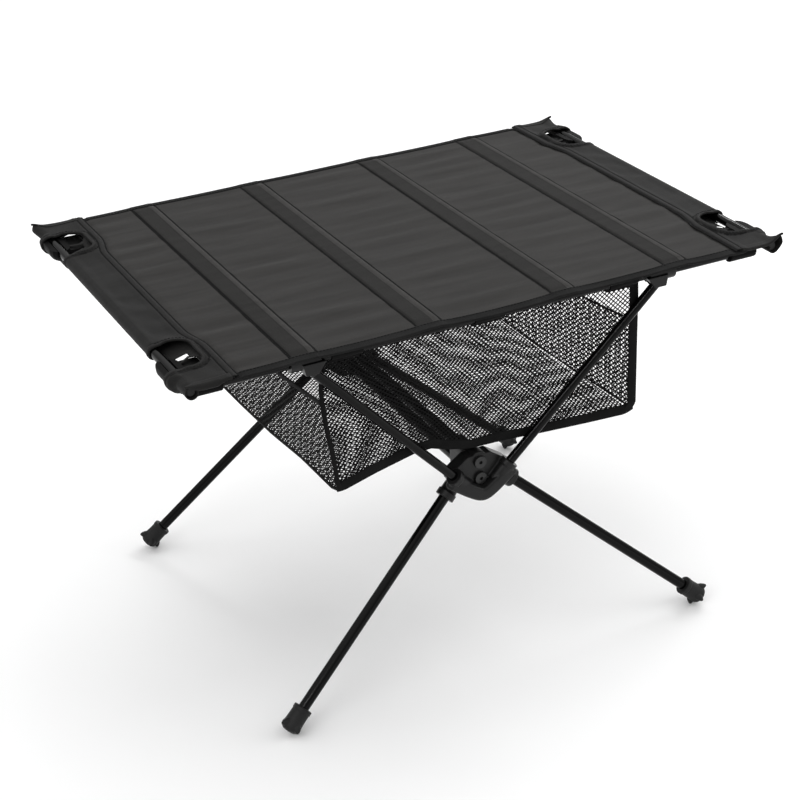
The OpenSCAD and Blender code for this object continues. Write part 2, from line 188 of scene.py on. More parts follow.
def cut_away(obj, cutters):
    """Cuts solids, as (vertices, faces) pairs, out of a piece and bakes all its modifiers."""
    tools = [add_object("cutter", *cutter) for cutter in cutters]
    for tool in tools:
        cut = obj.modifiers.new("cut", "BOOLEAN")
        cut.operation = "DIFFERENCE"
        cut.solver = "MANIFOLD"
        cut.object = tool
    bpy.context.view_layer.update()
    made = bpy.data.meshes.new_from_object(obj.evaluated_get(bpy.context.evaluated_depsgraph_get()))
    obj.modifiers.clear()
    obj.data = made
    for tool in tools:
        bpy.data.objects.remove(tool)


def extruded(low, high):
    """Vertices and faces of a solid between two outlines with the same number of points."""
    n = len(low)
    faces = [list(range(n)), list(range(n, 2 * n))[::-1]]
    faces += [[k, n + k, n + (k + 1) % n, (k + 1) % n] for k in range(n)]
    return np.array([*low, *high], float), faces


def mirrored(part, sx, sy):
    """The part on another corner of the table, with its faces still outward."""
    verts, faces = part
    verts = np.asarray(verts, float) * [sx, sy, 1]
    return verts, ([f[::-1] for f in faces] if sx * sy < 0 else faces)


def unit(v):
    v = np.asarray(v, float)
    n = np.linalg.norm(v, axis=-1, keepdims=True)
    return v / np.maximum(n, 1e-9)


def tangents(pts):
    return unit(np.gradient(np.asarray(pts, float), axis=0))


def resample(pts, step):
    """The same line with points about one step apart."""
    pts = np.asarray(pts, float)
    seg = np.linalg.norm(np.diff(pts, axis=0), axis=1)
    at = np.concatenate([[0], np.cumsum(seg)])
    n = max(2, int(round(at[-1] / step)) + 1)
    t = np.linspace(0, at[-1], n)
    return np.stack([np.interp(t, at, pts[:, k]) for k in range(pts.shape[1])], 1)


def sweep(sections):
    """Vertices and faces of a solid through rings of points."""
    rings = np.asarray(sections, float)
    rows, cols = rings.shape[:2]
    faces = grid_faces(rows, cols, wrap=True)
    faces.append(list(range(cols))[::-1])
    faces.append([(rows - 1) * cols + k for k in range(cols)])
    return rings.reshape(-1, 3), faces


def joined(parts):
    """Several (vertices, faces) pairs as one."""
    verts, faces, n = [], [], 0
    for v, f in parts:
        verts.append(np.asarray(v, float))
        faces += [[k + n for k in face] for face in f]
        n += len(v)
    return np.concatenate(verts), faces


def cord_mesh(pts, radius, sides=10):
    """A round line."""
    pts = np.asarray(pts, float)
    along = tangents(pts)
    ref = np.array([0.0, 0.0, 1.0]) if abs(along[0][2]) < 0.9 else np.array([1.0, 0.0, 0.0])
    side = unit(np.cross(along, ref))
    up = np.cross(side, along)
    turn = np.linspace(0, 2 * math.pi, sides, endpoint=False)
    radius = np.broadcast_to(radius, len(pts))[:, None, None]
    rings = pts[:, None, :] + radius * (
        side[:, None, :] * np.cos(turn)[None, :, None] + up[:, None, :] * np.sin(turn)[None, :, None]
    )
    return sweep(rings)


def tape_mesh(pts, across, width, thick, edge=3):
    """A flat tape with rounded edges. across is its width direction at each point."""
    pts = np.asarray(pts, float)
    along = tangents(pts)
    across = unit(np.broadcast_to(np.asarray(across, float), pts.shape))
    across = unit(across - along * (across * along).sum(1, keepdims=True))
    out = np.cross(along, across)
    width = np.broadcast_to(width, len(pts))
    section = []
    for side in (1, -1):
        for a in np.linspace(-90, 90, edge + 2):
            c, s = math.cos(math.radians(a)), math.sin(math.radians(a))
            section.append((side, side * c * thick / 2, side * s * thick / 2))
    rings = []
    for k in range(len(pts)):
        half = width[k] / 2 - thick / 2
        rings.append([pts[k] + across[k] * (side * half + u) + out[k] * v for side, u, v in section])
    return sweep(rings)


def stitch_mesh(paths, spacing=3.2, length=2.2, radius=0.34, lift=0.1):
    """Rows of single stitches along lines, each lying on the cloth."""
    parts = []
    for line in paths:
        pts = resample(line, spacing)
        mids = (pts[:-1] + pts[1:]) / 2
        dirs = unit(np.diff(pts, axis=0))
        for m, d in zip(mids, dirs):
            side = unit(np.cross(d, [0, 0, 1]))
            if not np.isfinite(side).all() or np.linalg.norm(side) < 0.5:
                side = np.array([1.0, 0, 0])
            up = np.cross(side, d)
            rings = []
            for t, r in ((-0.5, 0.25), (-0.3, 0.9), (0.3, 0.9), (0.5, 0.25)):
                c = m + d * length * t + up * (lift + radius * (0.2 if abs(t) > 0.4 else 0.45))
                rings.append([
                    c + radius * r * (side * math.cos(a) + up * math.sin(a))
                    for a in np.linspace(0, 2 * math.pi, 6, endpoint=False)
                ])
            parts.append(sweep(rings))
    return joined(parts)


# Materials -------------------------------------------------------------------


class Nodes:
    """A material's nodes, with short ways to add and link them."""

    def __init__(self, name):
        self.mat = bpy.data.materials.new(name)
        self.mat.use_nodes = True
        self.tree = self.mat.node_tree
        self.bsdf = self.tree.nodes["Principled BSDF"]
        self.coords = self.add("ShaderNodeTexCoord").outputs["Object"]

    def add(self, kind, **values):
        node = self.tree.nodes.new(kind)
        for key, value in values.items():
            if key in node.inputs:
                node.inputs[key].default_value = value
            else:
                setattr(node, key, value)
        return node

    def link(self, a, b):
        self.tree.links.new(a, b)

    def math(self, kind, a, b=None):
        node = self.add("ShaderNodeMath", operation=kind)
        for k, value in enumerate((a, b)):
            if value is None:
                continue
            if isinstance(value, (int, float)):
                node.inputs[k].default_value = value
            else:
                self.link(value, node.inputs[k])
        return node.outputs[0]

    def noise(self, scale, detail=3.0, rough=0.5, stretch=None):
        coords = self.coords
        if stretch:
            turned = self.add("ShaderNodeMapping")
            turned.inputs["Scale"].default_value = stretch
            self.link(coords, turned.inputs["Vector"])
            coords = turned.outputs["Vector"]
        node = self.add("ShaderNodeTexNoise")
        node.inputs["Scale"].default_value = scale
        node.inputs["Detail"].default_value = detail
        node.inputs["Roughness"].default_value = rough
        self.link(coords, node.inputs["Vector"])
        return node.outputs["Fac"]

    def ramp(self, fac, stops):
        node = self.add("ShaderNodeValToRGB")
        while len(node.color_ramp.elements) < len(stops):
            node.color_ramp.elements.new(0.5)
        for element, (at, colour) in zip(node.color_ramp.elements, stops):
            element.position = at
            element.color = (*colour, 1) if len(colour) == 3 else colour
        self.link(fac, node.inputs["Fac"])
        return node.outputs["Color"]

    def range(self, fac, low, high):
        node = self.add("ShaderNodeMapRange")
        node.inputs["To Min"].default_value = low
        node.inputs["To Max"].default_value = high
        self.link(fac, node.inputs["Value"])
        return node.outputs["Result"]

    def bump(self, height, strength, distance_mm, normal=None):
        node = self.add("ShaderNodeBump")
        node.inputs["Strength"].default_value = strength
        node.inputs["Distance"].default_value = distance_mm / 1000
        self.link(height, node.inputs["Height"])
        if normal is not None:
            self.link(normal, node.inputs["Normal"])
        return node.outputs["Normal"]


def grey(v, warm=0.0):
    return (v * (1 + warm), v, v * (1 - warm))


def weave_material(name, base, warm, pitch, rough, contrast, sheen=0.05, bump=0.5):
    """A plain weave: threads over and under each other, with slubs and long faint streaks."""
    n = Nodes(name)
    split = n.add("ShaderNodeSeparateXYZ")
    n.link(n.coords, split.inputs[0])
    per_metre = 2 * math.pi / (pitch / 1000)
    waves = [n.math("SINE", n.math("MULTIPLY", split.outputs[axis], per_metre)) for axis in (0, 1)]
    over = n.math("MULTIPLY", waves[0], waves[1])
    slub = n.noise(420, 2.0, 0.6, (1, 6, 6))
    cross_slub = n.noise(420, 2.0, 0.6, (6, 1, 6))
    height = n.math("ADD", over, n.math("ADD", slub, cross_slub))
    streaks = n.noise(14, 5.0, 0.6, (1, 9, 1))
    both = n.math("ADD", n.math("MULTIPLY", streaks, 0.8), n.math("MULTIPLY", over, 0.12))
    low, high = base * (1 - contrast), base * (1 + contrast)
    colour = n.ramp(both, [(0.2, grey(low, warm)), (0.6, grey(high, warm))])
    n.link(colour, n.bsdf.inputs["Base Color"])
    n.link(n.range(slub, rough - 0.08, rough + 0.08), n.bsdf.inputs["Roughness"])
    n.link(n.bump(height, bump, 0.12), n.bsdf.inputs["Normal"])
    n.bsdf.inputs["Specular IOR Level"].default_value = 0.05
    n.bsdf.inputs["Sheen Weight"].default_value = sheen
    n.bsdf.inputs["Sheen Roughness"].default_value = 0.5
    return n.mat


def tape_material(name, base, pitch=1.1):
    """Ribbed tape, with fine cords across it."""
    n = Nodes(name)
    split = n.add("ShaderNodeSeparateXYZ")
    n.link(n.coords, split.inputs[0])
    per_metre = 2 * math.pi / (pitch / 1000)
    total = n.math("ADD", n.math("ADD", split.outputs[0], split.outputs[1]), split.outputs[2])
    ribs = n.math("SINE", n.math("MULTIPLY", total, per_metre))
    fuzz = n.noise(900, 3.0, 0.6)
    mottle = n.noise(35, 3.0, 0.5)
    colour = n.ramp(n.math("ADD", n.math("MULTIPLY", mottle, 0.8), n.math("MULTIPLY", ribs, 0.1)),
                    [(0.25, grey(base * 0.7)), (0.65, grey(base * 1.35))])
    n.link(colour, n.bsdf.inputs["Base Color"])
    n.link(n.range(fuzz, 0.66, 0.88), n.bsdf.inputs["Roughness"])
    n.link(n.bump(n.math("ADD", ribs, fuzz), 0.5, 0.1), n.bsdf.inputs["Normal"])
    n.bsdf.inputs["Specular IOR Level"].default_value = 0.05
    n.bsdf.inputs["Sheen Weight"].default_value = 0.02
    return n.mat


def solid_material(name, base, rough, spread, metal=0.0, spec=0.4, grain=600, grain_bump=0.06, streak=None):
    """Plastic, rubber or metal: small changes of colour and gloss, and a fine grain."""
    n = Nodes(name)
    mottle = n.noise(45, 4.0, 0.55, streak)
    fine = n.noise(grain, 3.0, 0.6, streak)
    n.link(n.ramp(mottle, [(0.3, grey(base * 0.8)), (0.7, grey(base * 1.25))]), n.bsdf.inputs["Base Color"])
    n.link(n.range(fine, rough - spread, rough + spread), n.bsdf.inputs["Roughness"])
    n.link(n.bump(fine, grain_bump, 0.08), n.bsdf.inputs["Normal"])
    n.bsdf.inputs["Metallic"].default_value = metal
    n.bsdf.inputs["Specular IOR Level"].default_value = spec
    return n.mat


FABRIC = weave_material("oxford_cloth", 0.0250, 0.04, 1.3, 0.62, 0.24, sheen=0.03)
# The two rib tones are lit and shaded copies of the cloth: a darker copy is painted shade on the rib's flat
# top, and a lighter copy is a painted highlight on its raised ridge.
RIB_PAINTED_SHADE = weave_material("oxford_rib_painted_shade", 0.0150, 0.04, 1.3, 0.66, 0.2, sheen=0.02)
RIB_PAINTED_HIGHLIGHT = weave_material("oxford_ridge_painted_highlight", 0.0305, 0.04, 1.3, 0.6, 0.2, sheen=0.03)
# A near-black copy of the cloth: painted shade in the grooves at the stitching beside the ribs, beside the
# seams and round the notches.
GROOVE_PAINTED_SHADE = weave_material("oxford_groove_painted_shade", 0.006, 0.0, 1.3, 0.75, 0.10, sheen=0.0)
SLEEVE = weave_material("oxford_sleeve", 0.0130, 0.02, 1.3, 0.62, 0.2, sheen=0.03)
HEM = tape_material("hem_ribbed", 0.010)
WEB = tape_material("basket_ribbed", 0.006)
NET = solid_material("net_yarn", 0.006, 0.75, 0.1, spec=0.06, grain=2500, grain_bump=0.3)
THREAD = solid_material("sewing_thread", 0.008, 0.6, 0.1, spec=0.1, grain=3000, grain_bump=0.4)
TUBE = solid_material("anodised_black", 0.0012, 0.12, 0.02, spec=0.12, grain=260, grain_bump=0.02,
                      streak=(1, 1, 0.15))
NYLON = solid_material("nylon_black", 0.0075, 0.36, 0.06, spec=0.22, grain=900, grain_bump=0.10)
# A darker, duller copy of the nylon: painted shade on the corner connectors.
NYLON_PAINTED_SHADE = solid_material("nylon_painted_shade", 0.003, 0.5, 0.06, spec=0.04, grain=900, grain_bump=0.10)
RUBBER = solid_material("rubber_black", 0.010, 0.5, 0.08, spec=0.18, grain=700, grain_bump=0.12)
BARE = solid_material("bare_metal", 0.55, 0.3, 0.06, metal=1.0, spec=0.5, grain=900, grain_bump=0.05,
                      streak=(1, 8, 1))
STEEL = solid_material("black_zinc", 0.025, 0.3, 0.05, metal=0.6, spec=0.5, grain=800, grain_bump=0.06)
SLAT = solid_material("slat_strip", 0.25, 0.5, 0.05, spec=0.4, grain=500, grain_bump=0.08, streak=(8, 1, 1))
ELASTIC = tape_material("braided_elastic", 0.02, 0.7)

SLOTS = {
    "anodised_tube": TUBE, "moulded_nylon": NYLON, "boot_rubber": RUBBER, "bare_aluminium": BARE,
    "screw_steel": STEEL, "top_fabric": FABRIC, "sleeve_fabric": SLEEVE, "hem_tape": HEM,
    "slat_plastic": SLAT, "net": NET, "basket_webbing": WEB, "shock_cord": ELASTIC,
}
for part in frame["record"]["subparts"]:
    obj = frame["nodes"][part["node"]]
    obj.data.materials.clear()
    obj.data.materials.append(SLOTS[part["material_slot"]])


# Tabletop cloth --------------------------------------------------------------


def seam_x(y):
    """Distance of the sleeve's seam from the middle. It draws in beside the notch."""
    return SEAM_X - 6.5 * smooth((np.abs(y) - 104) / 44)


def notch_gap(x, y):
    """Distance from the notch's outline, negative inside it. x and y are distances from the middle."""
    far = POLE_X + 60
    cx, cy = (NOTCH_IN + far) / 2, (NOTCH_Y0 + NOTCH_Y1) / 2
    qx = np.abs(x - cx) - ((far - NOTCH_IN) / 2 - NOTCH_R)
    qy = np.abs(y - cy) - ((NOTCH_Y1 - NOTCH_Y0) / 2 - NOTCH_R)
    return np.hypot(np.maximum(qx, 0), np.maximum(qy, 0)) + np.minimum(np.maximum(qx, qy), 0) - NOTCH_R


EDGES = [-SEAM_X, *[e for r in RIB_X for e in (r - RIB_HALF, r + RIB_HALF)], SEAM_X]
PANELS = [(EDGES[i], EDGES[i + 1]) for i in range(0, len(EDGES), 2)]
# Four cross waves in each panel: length, height, phase and lean.
WAVES = [
    [(24 + 19 * k + 6 * rng.random(), 0.24 + 0.26 * rng.random(), 6.28 * rng.random(),
      0.16 * (rng.random() - 0.5)) for k in (0, 0.35, 0.8, 1.6)]
    for _ in PANELS
]


def cloth_z(x, y):
    """Height of the top cloth."""
    z = np.full(np.broadcast(x, y).shape, float(FABRIC_Z))
    x, y = np.broadcast_arrays(x, y)
    for (a, b), waves in zip(PANELS, WAVES):
        t = np.clip((x - a) / (b - a), 0, 1)
        inside = np.sin(math.pi * t) ** 0.6 * (x > a) * (x < b)
        fade = 1 - smooth((np.abs(y) - 188) / 22)
        for length, height, phase, lean in waves:
            wave = np.sin(2 * math.pi * (y + lean * (x - a)) / length + phase + 0.5 * np.sin(y / 57 + phase))
            z = z + height * wave * inside * fade
        z = z - 0.7 * inside * fade
        slack = np.where(y < 0, 2.2 if a < 0 < b else 1.1, 0.5)
        z = z - slack * inside * smooth((np.abs(y) - 176) / 40)
    for r in RIB_X:
        d = x - r
        top = np.interp(d, [-13.2, -12.2, -11.3, -9.5, 4.5, 7.0, 9.4, 11.2, 12.2, 13.2],
                        [0, -0.45, 0.5, 1.25, 1.35, 1.95, 1.9, 0.7, -0.5, 0])
        ends = 1 - 0.75 * smooth((np.abs(y) - 196) / 8)
        z = z + top * ends
    gap = np.abs(x) - seam_x(y)
    z = z - 0.9 * smooth((gap + 9) / 4)
    return z - 1.2 * smooth((np.abs(y) - 200) / 14)


def panel_columns():
    """Places across the panel, closer together at the ribs."""
    xs = [-SEAM_X]
    while xs[-1] < SEAM_X - 0.5:
        near = min(abs(xs[-1] - r) for r in RIB_X)
        xs.append(xs[-1] + (0.9 if near < 15 else 3.2))
    xs[-1] = SEAM_X
    return np.array(xs)


ys = np.linspace(-PANEL_Y, PANEL_Y, 145)
cols = panel_columns()
gx, gy = np.meshgrid(cols, ys)
pull = (seam_x(gy) - SEAM_X) * smooth((np.abs(gx) - 215) / (SEAM_X - 215)) * np.sign(gx)
gx = gx + pull
panel = add_mesh("woven_panel", np.stack([gx, gy, cloth_z(gx, gy)], -1).reshape(-1, 3),
                 grid_faces(*gx.shape), FABRIC, "top_fabric", replaces=["fabric_top"])
# The rib faces get painted light: painted shade on the rib's top, a painted highlight on its ridge, and
# painted shade in the grooves at the stitching beside it.
for tone in (RIB_PAINTED_SHADE, RIB_PAINTED_HIGHLIGHT, GROOVE_PAINTED_SHADE):
    panel.data.materials.append(tone)
face_x = (cols[:-1] + cols[1:]) / 2
from_rib = face_x[:, None] - np.array(RIB_X)
from_rib = from_rib[np.arange(len(face_x)), np.abs(from_rib).argmin(1)]
tone = np.select([np.abs(from_rib) > 13.4, np.abs(from_rib) > 11.2, from_rib > 5.2], [0, 3, 2], 1)
panel.data.polygons.foreach_set("material_index", np.tile(tone, len(ys) - 1))
solidify(panel, 0.9)

# The lower layer of each slat tunnel.
tunnel_z = SLAT_Z - 0.75
tunnel_line = resample([
    [-12, FABRIC_Z - 1.2], [-10.6, FABRIC_Z - 1.9], [-9.9, tunnel_z + 0.8], [-9.2, tunnel_z],
    [9.2, tunnel_z], [9.9, tunnel_z + 0.8], [10.6, FABRIC_Z - 1.9], [12, FABRIC_Z - 1.2]], 1.0)
for r, side in zip(RIB_X, SLATS):
    slices = []
    for y in np.linspace(-PANEL_Y + HEM_W, PANEL_Y - HEM_W, 90):
        sag = 0.2 * math.sin(y / 21 + r) + 0.1
        slices.append([[r + u, y, w - sag * (abs(u) < 9)] for u, w in tunnel_line])
    tunnel = add_sheet_mesh(f"slat_tunnel_{side}", slices, False, FABRIC, "top_fabric", 0.5)


# End sleeves -----------------------------------------------------------------

# The two rows of stitching beside the seam, at these distances from it.
SEAM_IN, SEAM_OUT = 2.7, 3.4
# How each corner of the cloth is turned up: height, reach outward and width of the turned part.
TIPS = {(1, -1): (5.5, 4.5, 17), (1, 1): (3.0, 1.5, 13), (-1, 1): (4.0, 5.0, 15), (-1, -1): (-1.0, 0.5, 13)}
# The loop that the hook fills is this much lower than round over the pole.
HOOK_LOOP_R = HOOK_R + 0.6
HOOK_FLAT = (LOOP_R + 1.0) / HOOK_R


def sleeve_z(x, y, sx):
    """Height of the sleeve's upper layer at distances x and y from the middle."""
    gap = x - seam_x(y)
    z = FABRIC_Z + 0.25 + 0.55 * gauss(gap - 0.2, 1.9)
    z = z - 0.45 * gauss(gap - SEAM_OUT, 0.9) - 0.4 * gauss(gap + SEAM_IN, 0.8)
    z = z - 0.25 * smooth((gap - 5) / 6)
    flat = smooth((gap - 3) / 8) * (1 - smooth((x - POLE_X + 9) / 8))
    z = z + flat * (0.5 * np.sin(y / 13.0 + 2 * sx) + 0.35 * np.sin(y / 6.1 + 0.12 * x) - 0.8)
    d = notch_gap(x, y)
    lip = 1 - smooth((x - POLE_X + 10) / 8)
    fold = 0.7 * (1 - smooth((d - 3.6) / 1.2)) - 0.5 * gauss(d - 5.2, 0.9)
    return z + lip * (fold + 2.0 * np.exp(-np.maximum(d, 0) / 7.0))


def turn_corner(p, sx, sy):
    """Moves points of a sleeve's upper side near the outer corner of the cloth."""
    rise, reach, size = TIPS[(sx, sy)]
    gap = np.hypot(p[..., 0] - (POLE_X + LOOP_R), p[..., 1] - PANEL_Y)
    near = smooth(1 - gap / size) * smooth((p[..., 2] - POLE_Z - 0.5) / 4.5)
    wide = smooth(1 - gap / (1.8 * size))
    p[..., 2] = p[..., 2] + rise * near ** 1.4
    p[..., 0] = p[..., 0] + reach * wide * smooth((p[..., 2] - POLE_Z + 4) / 8)
    return p


def loop_radius(y):
    """Radius of the sleeve round its pole. Beyond the notch it is stretched over the end of the hook."""
    over_hook = smooth((y - NOTCH_Y0 - 20) / 10) * (1 - smooth((y - HOOK_END - 1) / 7))
    return LOOP_R + (HOOK_LOOP_R - LOOP_R) * over_hook


def sleeve_section(y, sx):
    """One slice of a sleeve: over the top, round the pole and back below to the seam."""
    inner = seam_x(y) - 3.9
    mid_r = loop_radius(y)
    xs = np.concatenate([inner + np.array([0.0, 0.5, 1.2, 2.2, 3.2, 4.2, 5.4, 6.6, 7.4, 8.4, 10]),
                         np.linspace(inner + 12, POLE_X, 15)])
    top = np.stack([xs, sleeve_z(xs, y, sx)], 1)
    top[0, 1] -= 0.9
    flatten = np.interp(mid_r, [LOOP_R, HOOK_R], [1.0, HOOK_FLAT])
    ear = smooth((y - NOTCH_Y0) / (NOTCH_Y1 - NOTCH_Y0))
    turn = np.radians(np.linspace(82, -108 - 80 * ear, 24))
    height = np.where(np.sin(turn) > 0, flatten, 1.0)
    loop = np.stack([POLE_X + mid_r * np.cos(turn), POLE_Z + mid_r * height * np.sin(turn)], 1)
    low_x = np.array([POLE_X - 8.5, POLE_X - 12, POLE_X - 16, POLE_X - 21, inner + 9, inner + 4])
    low = np.stack([low_x, np.minimum(sleeve_z(low_x, y, sx) - 1.3, FABRIC_Z)], 1)
    low[0, 1] = POLE_Z + 3.0
    low[1, 1] = FABRIC_Z - 1.6
    start, stop = loop[-1], np.array([inner + 4, FABRIC_Z - 1.6])
    hung = start + (stop - start) * np.linspace(1 / len(low), 1, len(low))[:, None]
    return np.concatenate([top, loop, low * ear + hung * (1 - ear)])


def sleeve_rows():
    """Places along the sleeve, closer together near the notches and the ends."""
    ys = [0.0]
    while ys[-1] < PANEL_Y - 0.5:
        near = min(abs(ys[-1] - y) for y in (NOTCH_Y0, NOTCH_Y1, PANEL_Y))
        ys.append(ys[-1] + (1.4 if near < 14 else 2.6))
    ys[-1] = PANEL_Y
    return np.array([-y for y in ys[:0:-1]] + ys)


def notch_outline():
    """The notch's outline seen from above, open past the pole."""
    turn = np.radians(np.linspace(180, 90, 12))
    arc_x = NOTCH_IN + NOTCH_R * (1 + np.cos(turn))
    in_y = NOTCH_R * (1 - np.sin(turn))
    past = POLE_X + 30 + NOTCH_Y0 / 50
    far_side = [*zip(arc_x, NOTCH_Y1 - in_y), (past, NOTCH_Y1)]
    near_side = [*zip(arc_x, NOTCH_Y0 + in_y), (past, NOTCH_Y0)]
    return far_side + near_side[::-1]


def notch_cutters(sx, sy):
    """Solids that cut the notch: its upper layer, the loop round the pole, and the lower layer."""

    def between(outline, below=0.0):
        return [[x, y, FABRIC_Z - 1.0 - 0.19 * (x - NOTCH_IN) - below] for x, y in outline]

    def level(outline, z):
        return [[x, y, z] for x, y in outline]

    def rectangle(x0, x1, y0, y1):
        return [[x0, y1], [x1, y1], [x1, y0], [x0, y0]]

    bottom, top = FABRIC_Z - 40, FABRIC_Z + 20
    outline = notch_outline()
    around = rectangle(POLE_X - 5, POLE_X + 30, NOTCH_Y0 - 0.2, NOTCH_Y1 + 0.2)
    under = rectangle(NOTCH_IN + 6, POLE_X - 1, corner_lo[1] - 4, HOOK_END + 5)
    solids = [
        extruded(between(outline), level(outline, top)),
        extruded(level(around, bottom), level(around, top)),
        extruded(level(under, bottom), between(under, 0.3)),
    ]
    return [mirrored(solid, sx, sy) for solid in solids]


def lip_line(sx, sy, inset=0.0):
    """The notch's outline on the cloth, and that line with its two ends carried on under the pole."""
    r = NOTCH_R + inset
    turn = np.radians(np.linspace(90, 180, 14))
    y0, y1, x0 = NOTCH_Y0 - inset, NOTCH_Y1 + inset, NOTCH_IN - inset
    far_arc = [[x0 + r + r * math.cos(a), y1 - r + r * math.sin(a)] for a in turn]
    near_arc = [[x0 + r + r * math.cos(a), y0 + r - r * math.sin(a)] for a in turn][::-1]
    top = resample([[POLE_X - 1, y1], *far_arc, *near_arc, [POLE_X - 1, y0]], 1.5)
    top = np.column_stack([top, sleeve_z(top[:, 0], top[:, 1], sx)])
    wrap = np.radians(np.linspace(-96, 80, 22))
    flat = np.where(np.sin(wrap) > 0, HOOK_FLAT, 1.0)

    def round_pole(radius, y, flat):
        return np.column_stack([
            POLE_X + radius * np.cos(wrap), np.full(len(wrap), y), POLE_Z + radius * flat * np.sin(wrap)])

    whole = np.concatenate([round_pole(HOOK_LOOP_R, y1, flat), top, round_pole(LOOP_R, y0, 1.0)[::-1]])
    return top * [sx, sy, 1], whole * [sx, sy, 1]


def paint_groove_shade(sleeve):
    """The grooves beside the seam and round the notches get painted shade, a darker copy of the cloth."""
    data = sleeve.data
    data.polygons.foreach_set("use_smooth", [True] * len(data.polygons))
    data.materials.clear()
    data.materials.append(SLEEVE)
    data.materials.append(GROOVE_PAINTED_SHADE)
    mids = np.array([f.center for f in data.polygons]) * 1000
    gap = np.abs(mids[:, 0]) - seam_x(mids[:, 1])
    high = mids[:, 2] > FABRIC_Z - 0.6
    beside_seam = (np.abs(gap - SEAM_OUT) < 0.95) | (np.abs(gap + SEAM_IN) < 0.8)
    round_notch = np.abs(notch_gap(np.abs(mids[:, 0]), np.abs(mids[:, 1])) - 6.0) < 0.8
    data.polygons.foreach_set("material_index", (high & (beside_seam | round_notch)).astype(int))


def notch_piping(sx, sy):
    """The tape folded round a notch's edge."""
    t = np.linspace(0, 1, 150)
    lines = []
    for inset in (0.0, LIP_W):
        line = lip_line(sx, sy, inset)[1]
        lines.append(np.stack([np.interp(t, np.linspace(0, 1, len(line)), line[:, k]) for k in range(3)], 1))
    edge, back = lines
    return tape_mesh((edge + back) / 2, back - edge, LIP_W + 0.6, 2.4, edge=5)


lip_stitches = []
for sx, side in SIDES:
    slices = []
    for y in sleeve_rows():
        sy = 1 if y > 0 else -1
        section = sleeve_section(abs(y), sx)
        points = np.column_stack([section[:, 0], np.full(len(section), abs(y)), section[:, 1]])
        slices.append(turn_corner(points, sx, sy) * [sx, sy, 1])
    sleeve = add_sheet_mesh(f"{side}_sleeve_cloth", slices, sx < 0, SLEEVE, "sleeve_fabric", 0.8,
                            replaces=[f"{side}_end_sleeve"])
    cut_away(sleeve, [cutter for sy in (-1, 1) for cutter in notch_cutters(sx, sy)])
    paint_groove_shade(sleeve)
    for sy, end in ENDS:
        add_mesh(f"{end}_{side}_notch_piping", *notch_piping(sx, sy), SLEEVE, "sleeve_fabric")
        lip_stitches.append(lip_line(sx, sy, LIP_W - 0.9)[0] + [0, 0, 1.0])


# Hems ------------------------------------------------------------------------


def fold_section(inner, outer, upper, lower):
    """A tape folded over an edge: y and z from the top inner edge round to the lower inner edge."""
    r = (upper - lower) / 2
    mid = (upper + lower) / 2
    turn = np.radians(np.linspace(90, -90, 9))
    top = [[inner, upper - 0.35], [inner + 0.5, upper]]
    top += [[y, upper] for y in np.linspace(inner + 1.5, outer - r, 5)]
    bend = [[outer - r + r * math.cos(a), mid + r * math.sin(a)] for a in turn[1:-1]]
    low = [[y, lower] for y in np.linspace(outer - r, inner + 0.5, 5)]
    return np.array(top + bend + low)


for sy, end in ENDS:
    section = fold_section(HEM_Y - HEM_W, HEM_Y - 0.3, 0.45, -1.25)
    slices = []
    for x in np.linspace(-SEAM_X - 1, SEAM_X + 1, 230):
        wave = 0.025 * math.sin(x / 23 + sy) + 0.02 * math.sin(x / 9.1)
        z = cloth_z(np.array(x), sy * np.minimum(section[:, 0], PANEL_Y)) + section[:, 1] + wave
        slices.append(np.column_stack([np.full(len(z), x), sy * (section[:, 0] + 0.3 * math.sin(x / 31)), z]))
    hem = add_sheet_mesh(f"{end}_hem_tape", slices, sy > 0, HEM, "hem_tape", 0.5, replaces=[f"{end}_hem"])

# The turned hem on the ends of each sleeve, which sticks out past the corner of the cloth.
for (sx, sy), (rise, reach, size) in TIPS.items():
    end, side = ("front", "back")[sy > 0], ("left", "right")[sx > 0]
    tip_x = POLE_X + LOOP_R + reach
    slices = []
    for x in [*np.linspace(SEAM_X - 4, POLE_X - 6, 22), *np.linspace(POLE_X - 5, tip_x, 14)]:
        t = smooth((x - (POLE_X - 8)) / (LOOP_R + reach + 8))
        drop = 3.2 * (1 - t) if (sx, sy) == (-1, -1) else 0.0
        low = -1.9 - drop * smooth((x - SEAM_X - 2) / 8)
        section = fold_section(HEM_Y - 8.5 + 5.0 * t, HEM_Y - 0.2 - 1.2 * t, 0.7 - 0.25 * t, low + 1.1 * t)
        z = sleeve_z(np.array(min(x, POLE_X)), np.minimum(section[:, 0], PANEL_Y), sx) + section[:, 1]
        z = z + max(rise, 0.5) * t ** 1.8
        slices.append(np.column_stack([np.full(len(z), x), section[:, 0], z]) * [sx, sy, 1])
    ear = add_sheet_mesh(f"{end}_{side}_sleeve_hem", slices, sx * sy > 0, SLEEVE, "sleeve_fabric", 0.6)


# Stitching on the top --------------------------------------------------------

lines = []
span = np.linspace(-PANEL_Y + HEM_W, PANEL_Y - HEM_W, 120)
for r in RIB_X:
    for off in (-12.2, 12.2):
        x = np.full(len(span), r + off)
        lines.append(np.column_stack([x, span, cloth_z(x, span)]))
add_mesh("rib_stitching", *stitch_mesh(lines), THREAD, "top_fabric")

lines = []
span = np.linspace(-PANEL_Y + 2, PANEL_Y - 2, 140)
for sx in (-1, 1):
    for off in (-SEAM_IN, SEAM_OUT):
        x = seam_x(span) + off
        lines.append(np.column_stack([sx * x, span, sleeve_z(x, np.abs(span), sx) + 0.35]))
add_mesh("seam_stitching", *stitch_mesh(lines), THREAD, "sleeve_fabric")
add_mesh("notch_stitching", *stitch_mesh(lip_stitches), THREAD, "sleeve_fabric")

